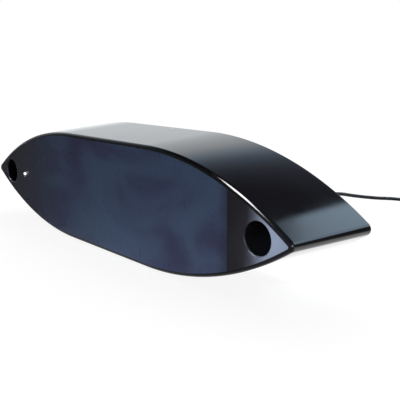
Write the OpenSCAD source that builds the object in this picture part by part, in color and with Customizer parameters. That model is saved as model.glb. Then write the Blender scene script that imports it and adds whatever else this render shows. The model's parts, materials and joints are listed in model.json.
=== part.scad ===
// Sonar transducer in a lens-shaped moulded housing, stood on its lower long side.
// Each piece is drawn with the acoustic face at height 0 and the hull side above it:
// x runs along the length, y across the width and z through the depth.
// stand() then turns it to face -Y, with the sloped lower side level on the floor.

/* [Housing] */
// Length of the face from tip to tip
face_l = 801; // [760:1:840]
// Width of the face across its two straight sides
face_w = 190; // [180:1:210]
// Length of the straight stretch of each long side
flat_l = 220; // [190:1:250]
// Radius of the two tips, at the face
tip_r = 8; // [7:0.5:12]
// Depth from the face to the hull side
body_d = 143; // [138:1:165]
// How far the sloped side walls stand out at the hull side
flare = 9.5; // [7:0.5:12]
// Radius of the rounded edge round the face
edge_r = 6; // [4:0.5:7]
// Radius of the small round at the hull-side edge
rim_r = 2.5; // [1:0.5:4]
// Thickness of the acoustic window in front of the elements
window_t = 14; // [10:1:18]
// Thinnest side wall beside the cavity
wall_t = 14; // [11:0.5:17]
// Thickness of the web between the cavity and each bolt well
web_t = 18; // [12:1:24]
// Depth of the cast fill below the hull-side rim
fill_dip = 1; // [0.5:0.5:3]

/* [Bolt wells] */
// Distance of each bolt well from the middle of the face
well_x = 344; // [336:1:352]
// Diameter of the bolt wells
well_d = 45; // [40:0.5:48]
// Radius of the rounded mouth of the wells
mouth_r = 3; // [1.5:0.5:5]
// Depth of the wells, from the face to their floor
well_t = 95; // [85:1:105]
// Bore of the bolt sleeves
sleeve_bore = 18; // [16:0.5:20]
// Outer diameter of the bolt sleeves
sleeve_d = 30; // [26:0.5:34]
// Thickness of the sleeve's flange
flange_t = 5; // [3:0.5:8]
// Diameter of the sleeve's flange, which lies flush in the floor of the well
flange_d = 39; // [36:0.5:39.5]

/* [Low-band array] */
// Width of one ceramic bar along the housing
bar_w = 34; // [30:0.5:35]
// Length of the bars across the housing
bar_l = 128; // [110:1:134]
// Thickness of the bars
bar_t = 38; // [34:0.5:42]
// Gap between two bars
bar_gap = 4; // [3:0.5:5]
// Place of the middle of the array along the housing
array_x = 45; // [42:1:48]
// Thickness of the layer in front of the bars
plate_t = 6; // [4:0.5:8]
// Thickness of the pad behind the bars
pad_t = 10; // [8:0.5:14]
// Thickness of the copper strips
strip_t = 0.5; // [0.3:0.1:1]
// Width of the copper strips
strip_w = 10; // [6:0.5:14]
// Distance of each strip from the middle line
strip_y = 22; // [16:1:24]

/* [High-band disc] */
// Diameter of the ceramic disc
disc_d = 100; // [80:1:104]
// Thickness of the disc
disc_t = 11; // [9:0.5:14]
// Place of the disc along the housing
disc_x = -215; // [-220:1:-212]
// Thickness of the layer in front of the disc
disc_plate_t = 4; // [3:0.5:6]
// Thickness of the pad behind the disc
disc_pad_t = 10; // [8:0.5:14]
// Diameter of the disc's leads
lead_d = 1.8; // [1.4:0.1:2.4]
// Distance of each lead from the middle line
lead_y = 32; // [30:1:36]

/* [Matching circuit] */
// Length of the terminal board
board_l = 86; // [80:1:90]
// Width of the terminal board
board_w = 84; // [76:1:86]
// Thickness of the terminal board
board_t = 2; // [1.6:0.2:3]
// Height of the board's spacers
spacer_h = 8; // [6:0.5:12]
// Diameter of the board's spacers
spacer_d = 7; // [5:0.5:9]
// Length of the low-band transformer's core
low_core_l = 56; // [50:1:58]
// Width of the low-band transformer's core
low_core_w = 48; // [42:1:54]
// Height of the low-band transformer's stack
low_core_h = 22; // [18:0.5:24]
// Length of the high-band transformer's core
high_core_l = 40; // [34:1:46]
// Width of the high-band transformer's core
high_core_w = 34; // [30:1:40]
// Height of the high-band transformer's stack
high_core_h = 14; // [12:0.5:18]

/* [Temperature sensor] */
// Distance of the button from the middle of the face
sensor_x = 280; // [274:1:286]
// Diameter of the button's head
button_d = 10; // [8:0.5:12]
// Height of the button's domed head over its recess
button_h = 6; // [5:0.5:8]
// Depth of the recess that the button sits in
recess_t = 1.5; // [1:0.5:3]
// Width of the recess round the button
recess_gap = 2; // [1:0.5:4]
// Diameter of the button's stem
stem_d = 7; // [6:0.5:8]
// Length of the button's stem
stem_l = 28; // [24:1:32]
// Bore of the stem, where the bead sits
bead_d = 4; // [3:0.5:5]
// Length of the bead
bead_l = 10; // [8:1:12]
// Diameter of the sensor's leads
sensor_lead_d = 1.2; // [0.8:0.1:1.6]

/* [Cable] */
// Diameter of the cable
cable_d = 6; // [5:0.5:7]
// Place of the cable's exit along the housing
exit_x = 225; // [220:1:240]
// Length of the strain relief outside the housing
relief_l = 48; // [40:1:56]
// Diameter of the strain relief at its root
relief_d = 20; // [16:1:24]
// Wall of the strain relief at its thin end
relief_wall = 1.6; // [1.2:0.1:2.4]
// Diameter of the collar cast into the fill
collar_d = 26; // [22:1:32]
// Thickness of the collar
collar_t = 6; // [4:0.5:8]
// Depth of the collar below the fill's surface
collar_dip = 10; // [8:0.5:12]
// Length of the ferrule on the cable's jacket
ferrule_l = 14; // [10:1:16]
// Wall of the ferrule
ferrule_wall = 2.4; // [1.6:0.2:3]
// Diameter of each core of the cable
core_d = 1.8; // [1.2:0.1:2]

/* [Fits] */
// Gap round the pieces that are set into the foam frame
set_gap = 0.4; // [0.2:0.1:0.5]
// Gap between the foam frame and the cavity's walls
frame_gap = 0.5; // [0.3:0.1:0.8]
// Gap round stems, leads and the cable where they pass through a hole
hole_gap = 0.15; // [0.1:0.05:0.3]

/* [Hidden] */
$fn = 96;
// facets of the long flank arcs
flank_fn = 480;
// overrun of every cut past the face it opens
over = 1;
// derived places are kept to hundredths, so that pieces which meet share the same numbers
function hundredth(x) = round(100*x)/100;
// a round stands out this much past its wall, and meets it at a slight angle
round_out = 0.02;

// The outline: a straight stretch, a long arc tangent to it, and a small round at the tip,
// which meets the arcs at a slight angle
tip_turn = 8;
tip_x = face_l/2 - tip_r;
tip_in = tip_r*cos(tip_turn);
flank_run = tip_x - flat_l/2;
flank_r = hundredth((flank_run^2 + face_w^2/4 - tip_in^2)/(face_w - 2*tip_in));
flank_y = face_w/2 - flank_r;
// where the tip's round takes over from the flanks
tip_from = hundredth(tip_x + tip_r*flank_run/(flank_r - tip_in));

// The walls' slope, and how far in the centres of their rounds lie from the wall at the face
slope = flare/body_d;
draft = atan(slope);
edge_in = hundredth(edge_r/cos(draft) - slope*edge_r) - round_out;
rim_in = hundredth(rim_r/cos(draft) - slope*(body_d - rim_r)) - round_out;

// Place of the standing part: lower side level, footprint centred
y_front = edge_r*cos(draft) - (face_w/2 - edge_in)*sin(draft) - edge_r;
y_back = (body_d - rim_r)*cos(draft) + (face_w/2 - rim_in)*sin(draft) + rim_r;
shift_y = -(y_front + y_back)/2;
lift_z = face_w/2*cos(draft);

// Levels through the depth
plate_z = window_t;
bar_z = plate_z + plate_t;
pad_z = bar_z + bar_t;
frame_top = pad_z + pad_t;
fill_top = body_d - fill_dip;
cavity_half = well_x - well_d/2 - web_t;

// Low-band array
bar_n = 8;
bar_pitch = bar_w + bar_gap;
array_l = bar_n*bar_w + (bar_n - 1)*bar_gap;
array_end = array_x + array_l/2;
// how far the strips run past the last bar before they turn up to the board
strip_run = 8;
strip_tab_x = array_end + strip_run;

// High-band disc
disc_z = window_t + disc_plate_t;
disc_pad_z = disc_z + disc_t;
disc_top = disc_pad_z + disc_pad_t;

// Matching circuit, on the back of the foam frame
board_z = frame_top + spacer_h;
board_top = board_z + board_t;
// the board starts a little before the strips' upturned ends
board_lead = 3;
board_x = strip_tab_x - board_lead + board_l/2;
spacer_in = 7;
// a core's middle leg takes a third of its length, each window a sixth, each yoke a sixth of its width
function core_leg(l) = hundredth(l/3);
function core_gap(l) = hundredth(l/6);
function core_yoke(w) = hundredth(w/6);
// height that a winding stands over and under its core
function coil_build(l) = hundredth(l/8);
low_core_x = hundredth((disc_x + disc_d/2 + array_x - array_l/2)/2);
high_core_x = disc_x;
// the wires run in the fill this far over what they cross
lead_clear = 12;
sensor_clear = 5;
lead_run_z = board_top + lead_clear;
sensor_run_z = frame_top + low_core_h + 2*coil_build(low_core_l) + sensor_clear;
// where the wires come down on the board, measured from its near edge
lead_drop = 6;
sensor_drop = 12;

// Temperature sensor
dome_r = 0.75*button_d;
// metal left in front of the bead
bead_cap = 1;
bead_z = recess_t + bead_cap;
stem_end = recess_t + stem_l;
sensor_lead_y = 1.1;
sensor_end_x = board_x - board_l/2 + sensor_drop;
lead_end_x = board_x - board_l/2 + lead_drop;

// Cable exit
collar_top = fill_top - collar_dip + collar_t;
ferrule_top = collar_top - collar_t;
ferrule_z = ferrule_top - ferrule_l;
relief_end = fill_top + relief_l;
core_n = 4;
// the cores lie in a ring, this far in from the cable's outside
core_skin = 0.1;
core_ring = cable_d/2 - core_d/2 - core_skin;
cable_bore = cable_d + 2*hole_gap;
ferrule_d = cable_d + 2*ferrule_wall;
neck_d = relief_d - 2*relief_wall;
groove_n = 6;
groove_t = 1.4;

// Route of the free cable, in the standing part's own frame: out of the relief, a slow droop, then
// round to the coil on the floor. The first two points follow the exit.
cable_sides = 10;
cable_steps = 2;
floor_z = cable_d/2;
cable_route = concat([stood([exit_x, 0, ferrule_z]), stood([exit_x, 0, relief_end])], [
    [225, 150, 109.5],
    [227, 185, 111],
    [230, 220, 112],
    [235, 255, 110],
    [239, 285, 105.5],
    [245, 315, 101.5],
    [254, 345, 98.5],
    [264, 375, 96.5],
    [275, 405, 93],
    [291, 434, 87],
    [313, 460, 77],
    [341, 480, 64],
    [373, 490, 48],
    [405, 490, 32],
    [434, 480, 18],
    [458, 462, 8.5],
    [474, 438, 4],
    [480.5, 412, floor_z],
    [481, 400, floor_z]
]);

// Coil of the rest of the cable, on the floor beside the route's end: four layers of up to seven
// turns, with room round them for the tie
coil_at = [401, 400];
coil_mid_r = 54;
coil_turns = 7;
coil_layers = 4;
turn_gap = 0.2;
layer_gap = 0.1;
tie_t = 1.2;
tie_deg = 15;
tie_from = 170;
coil_bevel = 1.7;
coil_w = coil_turns*cable_d + (coil_turns - 1)*turn_gap + 2*tie_t;
coil_h = coil_layers*cable_d + (coil_layers - 1)*layer_gap + 2*tie_t;

// Route of the tail, from the coil's outer wall down to the breakout, which lies on the floor
breakout_d = 11;
tail_z = breakout_d/2;
tail_route = [
    [473.5, 366.2, 21],
    [465, 348, 19.5],
    [455.5, 328, 14.5],
    [447, 307, 9.5],
    [441.5, 287, 6.3],
    [438.5, 270, tail_z],
    [437, 260, tail_z],
    [435.5, 250, tail_z]
];
breakout_l = 28;
breakout_wall = 1;
end_lead_l = 40;
end_lead_d = 2;
end_strip_l = 8;
end_strip_d = 1.2;
end_lead_n = 4;

// Colours
black_urethane = [0.09, 0.10, 0.13];
dark_fill = [0.13, 0.13, 0.14];
black_rubber = [0.07, 0.07, 0.08];
ceramic = [0.78, 0.74, 0.64];
epoxy = [0.55, 0.53, 0.46];
cork = [0.62, 0.46, 0.32];
foam = [0.83, 0.80, 0.70];
copper = [0.80, 0.48, 0.30];
steel = [0.75, 0.76, 0.78];
board_green = [0.16, 0.38, 0.24];
ferrite = [0.22, 0.22, 0.24];
white_tie = [0.85, 0.85, 0.83];

bar_names = [for (i = [1:bar_n]) str("low_element_", i)];

// Place of a drawn point on the standing part
function stood(p) = [
    p[0],
    p[1]*sin(draft) + p[2]*cos(draft) + shift_y,
    -p[1]*cos(draft) + p[2]*sin(draft) + lift_z
];

// Turns a drawn piece to its standing place
module stand() {
    translate([0, shift_y, lift_z]) rotate([draft - 90, 0, 0]) children();
}

// What a round takes off a corner: outside a circle, within a wedge from its centre.
// The wedge runs from the wall's normal to straight up or down.
module round_off(r, way) {
    lean = hundredth(2*r*slope);
    difference() {
        polygon([[0, 0], [2*r, -lean], [2*r, way*(r + over)], [0, way*(r + over)]]);
        circle(r);
    }
}

// Half section of the housing, from the middle out to a sloped wall that starts at r_face,
// with the rounded edge below and the small round above
module wall_section(r_face) {
    difference() {
        polygon([[0, 0], [r_face, 0], [r_face + flare, body_d], [0, body_d]]);
        translate([r_face - edge_in, edge_r]) round_off(edge_r, -1);
        translate([r_face - rim_in, body_d - rim_r]) round_off(rim_r, 1);
    }
}

// Sloped disc whose edge is the long flank arc on one side
module flank_disc() {
    translate([flat_l/2, flank_y, 0]) rotate_extrude($fn = flank_fn) wall_section(flank_r);
}

// One pointed end: what lies under both flank arcs, up to the round at the tip
module pointed_end() {
    intersection() {
        flank_disc();
        mirror([0, 1, 0]) flank_disc();
        union() {
            translate([flat_l/2, -face_w, -over]) cube([tip_from - flat_l/2, 2*face_w, body_d + 2*over]);
            translate([tip_x, 0, 0]) rotate([0, 0, 180]) rotate_extrude() wall_section(tip_r);
        }
    }
}

// The housing's outer form, without its hollows
module lens_body() {
    translate([-flat_l/2, 0, 0]) rotate([90, 0, 90]) linear_extrude(flat_l) {
        wall_section(face_w/2);
        mirror([1, 0]) wall_section(face_w/2);
    }
    pointed_end();
    mirror([1, 0, 0]) pointed_end();
}

// Flat lens outline set in from the face's outline, cut off square at half_l from the middle
module lens_outline(inset, half_l) {
    square([flat_l, face_w - 2*inset], center = true);
    for (side = [0, 1]) mirror([side, 0]) intersection() {
        translate([flat_l/2, flank_y]) circle(flank_r - inset, $fn = flank_fn);
        translate([flat_l/2, -flank_y]) circle(flank_r - inset, $fn = flank_fn);
        translate([flat_l/2, -face_w]) square([half_l - flat_l/2, 2*face_w]);
    }
}

// Block between two levels
module slab(size, z, t) {
    translate([-size[0]/2, -size[1]/2, z]) cube([size[0], size[1], t]);
}

// Round bar between two levels
module post(d, z, top) {
    translate([0, 0, z]) cylinder(d = d, h = top - z);
}

// Round wire through a list of points, with round corners
module wire(points, d) {
    for (i = [0:len(points) - 2]) {
        step = points[i + 1] - points[i];
        run = norm(step);
        translate(points[i]) rotate([0, acos(step[2]/run), atan2(step[1], step[0])])
            cylinder(d = d, h = run);
    }
    for (i = [1:1:len(points) - 2]) translate(points[i]) sphere(d = d);
}

// Bolt well with its rounded mouth, and the sleeve's hole through its floor
module well_cut() {
    lip_r = well_d/2 + mouth_r;
    lip_z = mouth_r - round_out;
    rotate_extrude() difference() {
        translate([0, -over]) square([lip_r, lip_z + over]);
        translate([lip_r, lip_z]) circle(mouth_r);
    }
    post(well_d, 0, well_t);
    post(flange_d, well_t - over, well_t + flange_t);
    post(sleeve_d, well_t, body_d + over);
}

module housing() {
    color(black_urethane) stand() difference() {
        lens_body();
        translate([0, 0, window_t]) linear_extrude(body_d) lens_outline(wall_t, cavity_half);
        for (side = [-1, 1]) translate([side*well_x, 0, 0]) well_cut();
        translate([-sensor_x, 0, 0]) {
            post(button_d + 2*recess_gap, -over, recess_t);
            post(stem_d + 2*hole_gap, 0, window_t + over);
        }
    }
}

// Sleeve moulded into the floor of a well: flange under the nut, tube through to the hull side
module bolt_sleeve(x) {
    color(steel) stand() translate([x, 0, 0]) difference() {
        union() {
            post(flange_d, well_t, well_t + flange_t);
            post(sleeve_d, well_t, body_d);
        }
        post(sleeve_bore, well_t - over, body_d + over);
    }
}

module bolt_sleeve_left() { bolt_sleeve(-well_x); }

module bolt_sleeve_right() { bolt_sleeve(well_x); }

// Rigid foam frame with a pocket for each element, open to the window
module element_frame() {
    color(foam) stand() difference() {
        translate([0, 0, window_t]) linear_extrude(frame_top - window_t)
            lens_outline(wall_t + frame_gap, cavity_half - frame_gap);
        translate([array_x, 0, 0]) {
            slab([array_l + 2*set_gap, bar_l + 2*set_gap], plate_z - over, plate_t + over);
            slab([array_l + 2*set_gap, bar_l + 2*set_gap], pad_z, pad_t + over);
        }
        for (i = [1:bar_n]) translate([bar_place(i), 0, 0])
            slab([bar_w + 2*set_gap, bar_l + 2*set_gap], bar_z - over, bar_t + 2*over);
        for (side = [-1, 1]) translate([strip_tab_x - strip_run/2, side*strip_y, 0])
            slab([strip_run + 2*set_gap, strip_w + 2*set_gap], pad_z - over, pad_t + 2*over);
        translate([disc_x, 0, 0]) post(disc_d + 2*set_gap, window_t - over, disc_top);
        for (side = [-1, 1]) translate([disc_x, side*lead_y, 0])
            post(lead_d + 2*hole_gap, disc_top - over, frame_top + over);
        translate([-sensor_x, 0, 0]) {
            post(stem_d + 2*hole_gap, window_t - over, stem_end);
            for (side = [-1, 1]) translate([0, side*sensor_lead_y, 0])
                post(sensor_lead_d + 2*hole_gap, window_t, frame_top + over);
        }
    }
}

function bar_place(i) = array_x + (i - (bar_n + 1)/2)*bar_pitch;

module low_matching_plate() {
    color(epoxy) stand() translate([array_x, 0, 0]) slab([array_l, bar_l], plate_z, plate_t);
}

module low_element(i) {
    color(ceramic) stand() translate([bar_place(i), 0, 0]) slab([bar_w, bar_l], bar_z, bar_t);
}

// Pad behind the bars, grooved for the strips that lie on them
module low_backing_pad() {
    color(cork) stand() translate([array_x, 0, 0]) difference() {
        slab([array_l, bar_l], pad_z, pad_t);
        for (side = [-1, 1]) translate([0, side*strip_y, 0])
            slab([array_l + 2*over, strip_w + 2*set_gap], pad_z - over, strip_t + over);
    }
}

// Copper strip along the backs of the bars, turned up to the board at its end
module bus_strip(side) {
    strip_from = array_x - array_l/2;
    translate([0, side*strip_y, 0]) {
        translate([(strip_from + strip_tab_x)/2, 0, 0])
            slab([strip_tab_x - strip_from, strip_w], pad_z, strip_t);
        translate([strip_tab_x - strip_t/2, 0, 0]) slab([strip_t, strip_w], pad_z, board_z - pad_z);
    }
}

module bus_strip_live() { color(copper) stand() bus_strip(-1); }

module bus_strip_return() { color(copper) stand() bus_strip(1); }

module high_matching_disc() {
    color(epoxy) stand() translate([disc_x, 0, 0]) post(disc_d, window_t, disc_z);
}

module high_element() {
    color(ceramic) stand() translate([disc_x, 0, 0]) post(disc_d, disc_z, disc_pad_z);
}

module high_backing_pad() {
    color(cork) stand() translate([disc_x, 0, 0]) difference() {
        post(disc_d, disc_pad_z, disc_top);
        for (side = [-1, 1]) translate([0, side*lead_y, 0])
            post(lead_d + 2*hole_gap, disc_pad_z - over, disc_top + over);
    }
}

// One lead from the back of the disc to the board
module high_lead(side) {
    y = side*lead_y;
    wire([
        [disc_x, y, disc_pad_z],
        [disc_x, y, lead_run_z],
        [lead_end_x, y, lead_run_z],
        [lead_end_x, y, board_top]
    ], lead_d);
}

module high_leads() {
    color(copper) stand() for (side = [-1, 1]) high_lead(side);
}

module terminal_board_form() {
    translate([board_x, 0, 0]) slab([board_l, board_w], board_z, board_t);
}

module terminal_board() { color(board_green) stand() terminal_board_form(); }

module board_spacers_form() {
    for (end = [-1, 1], side = [-1, 1])
        translate([board_x + end*(board_l/2 - spacer_in), side*(board_w/2 - spacer_in), 0])
            post(spacer_d, frame_top, board_z);
}

module board_spacers() { color(steel) stand() board_spacers_form(); }

// Outer blocks of a transformer: the core lies on the lower half of its winding
module core_block(l, w, h) {
    slab([l, w], frame_top + coil_build(l), h);
}

module winding_block(l, w, h) {
    slab([core_leg(l) + 2*core_gap(l), w - 2*core_yoke(w)], frame_top, h + 2*coil_build(l));
}

// Laminated core with two windows beside its middle leg
module core_form(l, w, h) {
    difference() {
        core_block(l, w, h);
        for (side = [-1, 1]) translate([side*(core_leg(l) + core_gap(l))/2, 0, 0])
            slab([core_gap(l), w - 2*core_yoke(w)], frame_top, h + 2*coil_build(l));
    }
}

// Winding round the middle leg, filling both windows
module winding_form(l, w, h) {
    difference() {
        winding_block(l, w, h);
        slab([core_leg(l), w], frame_top + coil_build(l), h);
    }
}

module low_transformer_core() {
    color(ferrite) stand() translate([low_core_x, 0, 0]) core_form(low_core_l, low_core_w, low_core_h);
}

module low_transformer_winding() {
    color(copper) stand() translate([low_core_x, 0, 0]) winding_form(low_core_l, low_core_w, low_core_h);
}

module high_transformer_core() {
    color(ferrite) stand() translate([high_core_x, 0, 0]) core_form(high_core_l, high_core_w, high_core_h);
}

module high_transformer_winding() {
    color(copper) stand() translate([high_core_x, 0, 0]) winding_form(high_core_l, high_core_w, high_core_h);
}

// Domed metal button in its recess, with a hollow stem behind
module temperature_button() {
    color(steel) stand() translate([-sensor_x, 0, 0]) difference() {
        union() {
            intersection() {
                post(button_d, recess_t - button_h, recess_t);
                translate([0, 0, recess_t - button_h + dome_r]) sphere(dome_r);
            }
            post(stem_d, recess_t - over, stem_end);
        }
        post(bead_d, bead_z, stem_end + over);
    }
}

// Bead at the blind end of the stem's bore
module thermistor_bead() {
    color(epoxy) stand() translate([-sensor_x, 0, 0]) post(bead_d - 2*hole_gap, bead_z, bead_z + bead_l);
}

module sensor_lead(side) {
    y = side*sensor_lead_y;
    wire([
        [-sensor_x, y, bead_z + bead_l],
        [-sensor_x, y, sensor_run_z],
        [sensor_end_x, y, sensor_run_z],
        [sensor_end_x, y, board_top]
    ], sensor_lead_d);
}

module sensor_leads() {
    color(copper) stand() for (side = [-1, 1]) sensor_lead(side);
}

// Crimped ring on the end of the cable's jacket
module ferrule_form() {
    translate([exit_x, 0, 0]) difference() {
        post(ferrule_d, ferrule_z, ferrule_top);
        post(cable_bore, ferrule_z - over, ferrule_top + over);
    }
}

module cable_ferrule() { color(steel) stand() ferrule_form(); }

module core_posts() {
    translate([exit_x, 0, 0]) for (i = [1:core_n])
        rotate([0, 0, (i - 0.5)*360/core_n]) translate([core_ring, 0, 0]) post(core_d, board_top, ferrule_z);
}

module cable_cores() { color(copper) stand() core_posts(); }

// Moulded strain relief: a collar in the fill, then a grooved taper down to the cable
module strain_relief() {
    thin = cable_d/2 + relief_wall;
    pitch = relief_l/(groove_n + 2);
    color(black_rubber) stand() translate([exit_x, 0, 0]) difference() {
        union() {
            post(collar_d, ferrule_top, collar_top);
            post(neck_d, collar_top - over, fill_top + over);
            translate([0, 0, fill_top]) rotate_extrude() difference() {
                polygon([[0, 0], [relief_d/2, 0], [relief_d/2, pitch], [thin, relief_l], [0, relief_l]]);
                for (i = [1:groove_n]) {
                    z = (i + 0.5)*pitch;
                    r = relief_d/2 + (thin - relief_d/2)*(z - pitch)/(relief_l - pitch);
                    translate([r - groove_t, z]) square([relief_d, pitch/3]);
                }
            }
        }
        post(cable_bore, ferrule_top - over, relief_end + over);
    }
}

// Cast fill from the foam frame to just below the rim, round everything that stands in it
module back_fill() {
    color(dark_fill) stand() difference() {
        translate([0, 0, frame_top]) linear_extrude(fill_top - frame_top) lens_outline(wall_t, cavity_half);
        for (side = [-1, 1]) {
            bus_strip(side);
            high_lead(side);
            sensor_lead(side);
        }
        terminal_board_form();
        board_spacers_form();
        for (t = [[low_core_x, low_core_l, low_core_w, low_core_h],
                  [high_core_x, high_core_l, high_core_w, high_core_h]])
            translate([t[0], 0, 0]) {
                core_block(t[1], t[2], t[3]);
                winding_block(t[1], t[2], t[3]);
            }
        core_posts();
        translate([exit_x, 0, 0]) {
            post(ferrule_d, ferrule_z, ferrule_top);
            post(collar_d, ferrule_top, collar_top);
            post(neck_d, collar_top - over, fill_top + over);
        }
    }
}

// Smooth curve through a list of points
function held(p, i) = p[max(0, min(len(p) - 1, i))];
function smooth(p, i, t) =
    let (a = held(p, i - 1), b = held(p, i), c = held(p, i + 1), d = held(p, i + 2))
    0.5*(2*b + (c - a)*t + (2*a - 5*b + 4*c - d)*t^2 + (3*b - a - 3*c + d)*t^3);
function curve(p, steps) = concat(
    [for (i = [0:len(p) - 2], j = [0:steps - 1]) smooth(p, i, j/steps)],
    [p[len(p) - 1]]
);

// Tube swept along a list of points
function unit(v) = v/norm(v);
function ring_points(p, k, d, n) =
    let (along = unit(held(p, k + 1) - held(p, k - 1)),
         side = unit(cross([0, 0, 1], along)),
         up = cross(along, side))
    [for (j = [0:n - 1]) p[k] + d/2*(cos(360*j/n)*side + sin(360*j/n)*up)];

module tube(p, d, n) {
    rings = len(p);
    points = [for (k = [0:rings - 1], q = ring_points(p, k, d, n)) q];
    sides = [for (k = [0:rings - 2], j = [0:n - 1])
        [k*n + j, (k + 1)*n + j, (k + 1)*n + (j + 1)%n, k*n + (j + 1)%n]];
    near = [for (j = [0:n - 1]) j];
    far = [for (j = [n - 1:-1:0]) (rings - 1)*n + j];
    polyhedron(points, concat(sides, [near, far]));
}

module cable() {
    color(black_rubber) tube(curve(cable_route, cable_steps), cable_d, cable_sides);
}

// Section of the coil, set in by a given amount
module coil_section(inset) {
    a = coil_mid_r - coil_w/2 + inset;
    b = coil_mid_r + coil_w/2 - inset;
    lo = inset;
    hi = coil_h - inset;
    polygon([
        [a + coil_bevel, lo], [b - coil_bevel, lo], [b, lo + coil_bevel], [b, hi - coil_bevel],
        [b - coil_bevel, hi], [a + coil_bevel, hi], [a, hi - coil_bevel], [a, lo + coil_bevel]
    ]);
}

module tie_form() {
    rotate([0, 0, tie_from]) rotate_extrude(angle = tie_deg) difference() {
        coil_section(0);
        coil_section(tie_t);
    }
}

module cable_coil() {
    color(black_rubber) translate([coil_at[0], coil_at[1], 0]) {
        rotate([0, 0, tie_from + tie_deg]) rotate_extrude(angle = 360 - tie_deg) coil_section(0);
        rotate([0, 0, tie_from]) rotate_extrude(angle = tie_deg) coil_section(tie_t);
    }
}

module coil_tie() {
    color(white_tie) translate([coil_at[0], coil_at[1], 0]) tie_form();
}

module cable_tail() {
    color(black_rubber) tube(curve(tail_route, cable_steps), cable_d, cable_sides);
}

// Carries the tail's line on past its end, with z along it
module on_tail() {
    last = tail_route[len(tail_route) - 1];
    run = last - tail_route[len(tail_route) - 2];
    translate(last) rotate([0, 0, atan2(run[1], run[0])]) rotate([0, 90, 0]) children();
}

// Shrunk boot where the cores leave the jacket
module cable_breakout() {
    color(black_rubber) on_tail() rotate_extrude() polygon([
        [0, 0],
        [cable_d/2 + breakout_wall, 0],
        [cable_d/2 + breakout_wall, breakout_l/4],
        [breakout_d/2, breakout_l/2],
        [breakout_d/2, breakout_l - 2*breakout_wall],
        [breakout_d/2 - breakout_wall, breakout_l],
        [0, breakout_l]
    ]);
}

module cable_leads() {
    ring = breakout_d/4;
    color(copper) on_tail() translate([0, 0, breakout_l])
        for (i = [1:end_lead_n]) rotate([0, 0, (i - 0.5)*360/end_lead_n]) translate([ring, 0, 0]) {
            cylinder(d = end_lead_d, h = end_lead_l - end_strip_l);
            cylinder(d = end_strip_d, h = end_lead_l);
        }
}

housing();
back_fill();
element_frame();
low_matching_plate();
for (i = [1:bar_n]) low_element(i);
low_backing_pad();
bus_strip_live();
bus_strip_return();
high_matching_disc();
high_element();
high_backing_pad();
high_leads();
terminal_board();
board_spacers();
low_transformer_core();
low_transformer_winding();
high_transformer_core();
high_transformer_winding();
temperature_button();
thermistor_bead();
sensor_leads();
bolt_sleeve_left();
bolt_sleeve_right();
cable_ferrule();
cable_cores();
strain_relief();
cable();
cable_coil();
coil_tie();
cable_tail();
cable_breakout();
cable_leads();
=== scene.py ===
import json
import math

import bpy
from mathutils import Matrix, Vector

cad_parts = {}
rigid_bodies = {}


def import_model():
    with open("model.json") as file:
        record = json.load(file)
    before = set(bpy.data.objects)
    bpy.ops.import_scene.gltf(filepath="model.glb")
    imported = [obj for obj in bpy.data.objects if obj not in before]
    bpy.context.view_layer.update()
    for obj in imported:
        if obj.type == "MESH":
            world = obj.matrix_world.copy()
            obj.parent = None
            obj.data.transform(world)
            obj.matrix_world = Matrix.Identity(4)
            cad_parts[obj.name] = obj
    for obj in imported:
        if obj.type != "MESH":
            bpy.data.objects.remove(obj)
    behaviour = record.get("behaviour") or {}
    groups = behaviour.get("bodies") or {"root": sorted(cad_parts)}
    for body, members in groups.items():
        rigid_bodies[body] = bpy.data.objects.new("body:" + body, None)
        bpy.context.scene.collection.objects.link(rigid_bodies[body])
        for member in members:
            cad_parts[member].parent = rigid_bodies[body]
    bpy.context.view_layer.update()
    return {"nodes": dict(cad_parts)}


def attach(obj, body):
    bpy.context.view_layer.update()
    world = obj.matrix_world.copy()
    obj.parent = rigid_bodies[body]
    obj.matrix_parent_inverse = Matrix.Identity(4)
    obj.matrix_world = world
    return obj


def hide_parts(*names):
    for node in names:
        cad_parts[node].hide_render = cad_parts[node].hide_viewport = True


for leftOver in list(bpy.data.objects):  # Blender's own start-up objects
    bpy.data.objects.remove(leftOver)
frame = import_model()
nodes = frame["nodes"]
scene = bpy.context.scene
print("frame loaded:", len(nodes), "nodes")

# How the part stands: its face is tipped down until the sloped lower side is level
stance = {
    "depth": 0.143,        # face to hull side
    "flare": 0.0095,       # how far the walls stand out at the hull side
    "faceWidth": 0.190,
    "shiftY": -0.0717512,  # puts the footprint's middle over the origin
}
slope = math.atan2(stance["flare"], stance["depth"])
liftZ = stance["faceWidth"] / 2 * math.cos(slope)
standing = Matrix.Translation((0, stance["shiftY"], liftZ)) @ Matrix.Rotation(slope - math.pi / 2, 4, "X")


def stood(x, y, z):
    return standing @ Vector((x, y, z))


# Camera, at the photograph's viewing angle
cameraView = {
    "place": (0.8436, -0.6229, 0.2702),
    "azimuth": 47.778, "elevation": 9.933, "roll": 2.680,
    "lens": 55.13, "sensor": 36.0, "nearest": 0.01,
}


def makeCamera(view):
    data = bpy.data.cameras.new("camera")
    camera = bpy.data.objects.new("camera", data)
    scene.collection.objects.link(camera)
    data.lens = view["lens"]
    data.sensor_width = view["sensor"]
    data.clip_start = view["nearest"]
    turn = Matrix.Rotation(math.radians(view["azimuth"]), 4, "Z")
    tip = Matrix.Rotation(math.radians(90 - view["elevation"]), 4, "X")
    roll = Matrix.Rotation(math.radians(view["roll"]), 4, "Z")
    camera.matrix_world = Matrix.Translation(view["place"]) @ turn @ tip @ roll
    scene.camera = camera


makeCamera(cameraView)
print("camera set")


# Helpers for selecting, drawing, finishing and placing pieces
meshForm = {
    "merge": 1e-6, "level": 1e-5,  # gaps within which points are one, or lie at one height
    "bigFaces": 80,                # how far the larger faces decide the shading of an edge, in percent
}


def leaveEdit():
    bpy.ops.object.mode_set(mode="OBJECT")


def selectAll():
    bpy.ops.mesh.select_all(action="SELECT")


def deselectAll():
    if bpy.context.mode != "OBJECT":
        leaveEdit()
    bpy.ops.object.select_all(action="DESELECT")


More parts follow.
